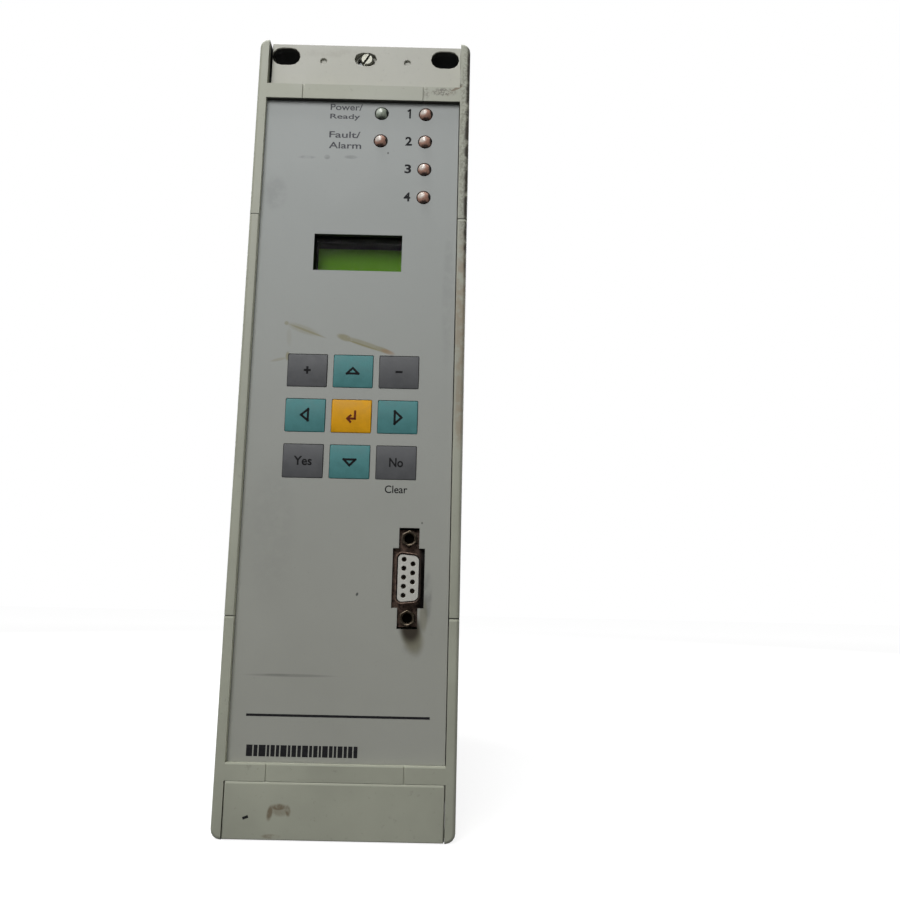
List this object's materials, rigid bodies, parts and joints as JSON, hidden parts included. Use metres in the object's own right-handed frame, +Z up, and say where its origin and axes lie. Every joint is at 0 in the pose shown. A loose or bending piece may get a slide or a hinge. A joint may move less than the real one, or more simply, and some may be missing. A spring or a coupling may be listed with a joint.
{
  "type": "protection relay",
  "caption": "Narrow flush-mounting protection relay: moulded front frame, keypad, lamps, display and serial port before a deep sheet steel case with screw terminals at its rear.",
  "frame": {"origin": "middle of the base that the relay stands on, half-way between its face and the rear of its terminals", "axes": "+Z up along the relay's height, -Y the way its front faces, +X to the right seen from the front"},
  "size_m": [0.074, 0.2354, 0.266],
  "materials": {
    "frame_plastic": "fine-grained moulding, aged",
    "bracket_plastic": "fine-grained moulding, aged",
    "panel_foil": "satin printed foil on sheet metal",
    "key_grey": "satin",
    "key_teal": "satin",
    "key_yellow": "satin",
    "lamp_red": "clear lens with a reddish chip",
    "lamp_green": "clear lens with a greenish chip",
    "clear_pane": "clear plastic pane",
    "black_plastic": "moulded",
    "display_green": "green reflective display",
    "dark_tin": "dull tinned steel, dirty",
    "port_white": "moulded",
    "zinc_sheet": "galvanised sheet",
    "bright_steel": "zinc plated",
    "circuit_board": "solder mask",
    "guide_grey": "moulded",
    "cable_grey": "flat ribbon",
    "iron_core": "varnished laminations",
    "relay_blue": "moulded",
    "can_black": "sleeved can"
  },
  "bodies": {
    "relay": {"front_frame_top": "frame_plastic", "front_frame_bottom": "frame_plastic", "side_strip_left": "frame_plastic", "side_strip_right": "frame_plastic", "bracket_top": "bracket_plastic", "bracket_bottom": "bracket_plastic", "bracket_screw_top": "bright_steel", "bracket_screw_bottom": "bright_steel", "earth_screw": "bright_steel", "front_panel": "panel_foil", "display_window": "clear_pane", "display_bezel": "black_plastic", "display_module": "display_green", "port_shell": "dark_tin", "port_insert": "port_white", "port_screw_upper": "dark_tin", "port_screw_lower": "dark_tin", "housing": "zinc_sheet", "rear_plate": "zinc_sheet", "front_board": "circuit_board", "processor_board": "circuit_board", "input_board": "circuit_board", "ribbon_cable": "cable_grey", "card_guide_upper_right": "guide_grey", "card_guide_lower_right": "guide_grey", "card_guide_upper_left": "guide_grey", "card_guide_lower_left": "guide_grey", "input_transformer_1": "iron_core", "input_transformer_2": "iron_core", "input_transformer_3": "iron_core", "input_transformer_4": "iron_core", "power_transformer": "iron_core", "output_relay_1": "relay_blue", "output_relay_2": "relay_blue", "output_relay_3": "relay_blue", "output_relay_4": "relay_blue", "capacitor_1": "can_black", "capacitor_2": "can_black", "voltage_terminals_upper": "black_plastic", "voltage_terminals_lower": "black_plastic", "current_terminals": "black_plastic", "lamp_service": "lamp_green", "lamp_blocked": "lamp_red", "lamp_1": "lamp_red", "lamp_2": "lamp_red", "lamp_3": "lamp_red", "lamp_4": "lamp_red"},
    "key_plus": {"key_plus": "key_grey"},
    "key_up": {"key_up": "key_teal"},
    "key_minus": {"key_minus": "key_grey"},
    "key_left": {"key_left": "key_teal"},
    "key_enter": {"key_enter": "key_yellow"},
    "key_right": {"key_right": "key_teal"},
    "key_yes": {"key_yes": "key_grey"},
    "key_down": {"key_down": "key_teal"},
    "key_no": {"key_no": "key_grey"},
    "cover_cap": {"cover_cap": "frame_plastic"}
  },
  "joints": [
    {"name": "key_plus_press", "type": "slide", "parent": "relay", "child": "key_plus", "axis": [0, 1, 0], "range_m": [0, 0.0005], "stiffness_N_per_m": 2000},
    {"name": "key_up_press", "type": "slide", "parent": "relay", "child": "key_up", "axis": [0, 1, 0], "range_m": [0, 0.0005], "stiffness_N_per_m": 2000},
    {"name": "key_minus_press", "type": "slide", "parent": "relay", "child": "key_minus", "axis": [0, 1, 0], "range_m": [0, 0.0005], "stiffness_N_per_m": 2000},
    {"name": "key_left_press", "type": "slide", "parent": "relay", "child": "key_left", "axis": [0, 1, 0], "range_m": [0, 0.0005], "stiffness_N_per_m": 2000},
    {"name": "key_enter_press", "type": "slide", "parent": "relay", "child": "key_enter", "axis": [0, 1, 0], "range_m": [0, 0.0005], "stiffness_N_per_m": 2000},
    {"name": "key_right_press", "type": "slide", "parent": "relay", "child": "key_right", "axis": [0, 1, 0], "range_m": [0, 0.0005], "stiffness_N_per_m": 2000},
    {"name": "key_yes_press", "type": "slide", "parent": "relay", "child": "key_yes", "axis": [0, 1, 0], "range_m": [0, 0.0005], "stiffness_N_per_m": 2000},
    {"name": "key_down_press", "type": "slide", "parent": "relay", "child": "key_down", "axis": [0, 1, 0], "range_m": [0, 0.0005], "stiffness_N_per_m": 2000},
    {"name": "key_no_press", "type": "slide", "parent": "relay", "child": "key_no", "axis": [0, 1, 0], "range_m": [0, 0.0005], "stiffness_N_per_m": 2000},
    {"name": "cover_cap_pull", "type": "slide", "parent": "relay", "child": "cover_cap", "axis": [0, -1, 0], "range_m": [0, 0.008]}
  ]
}
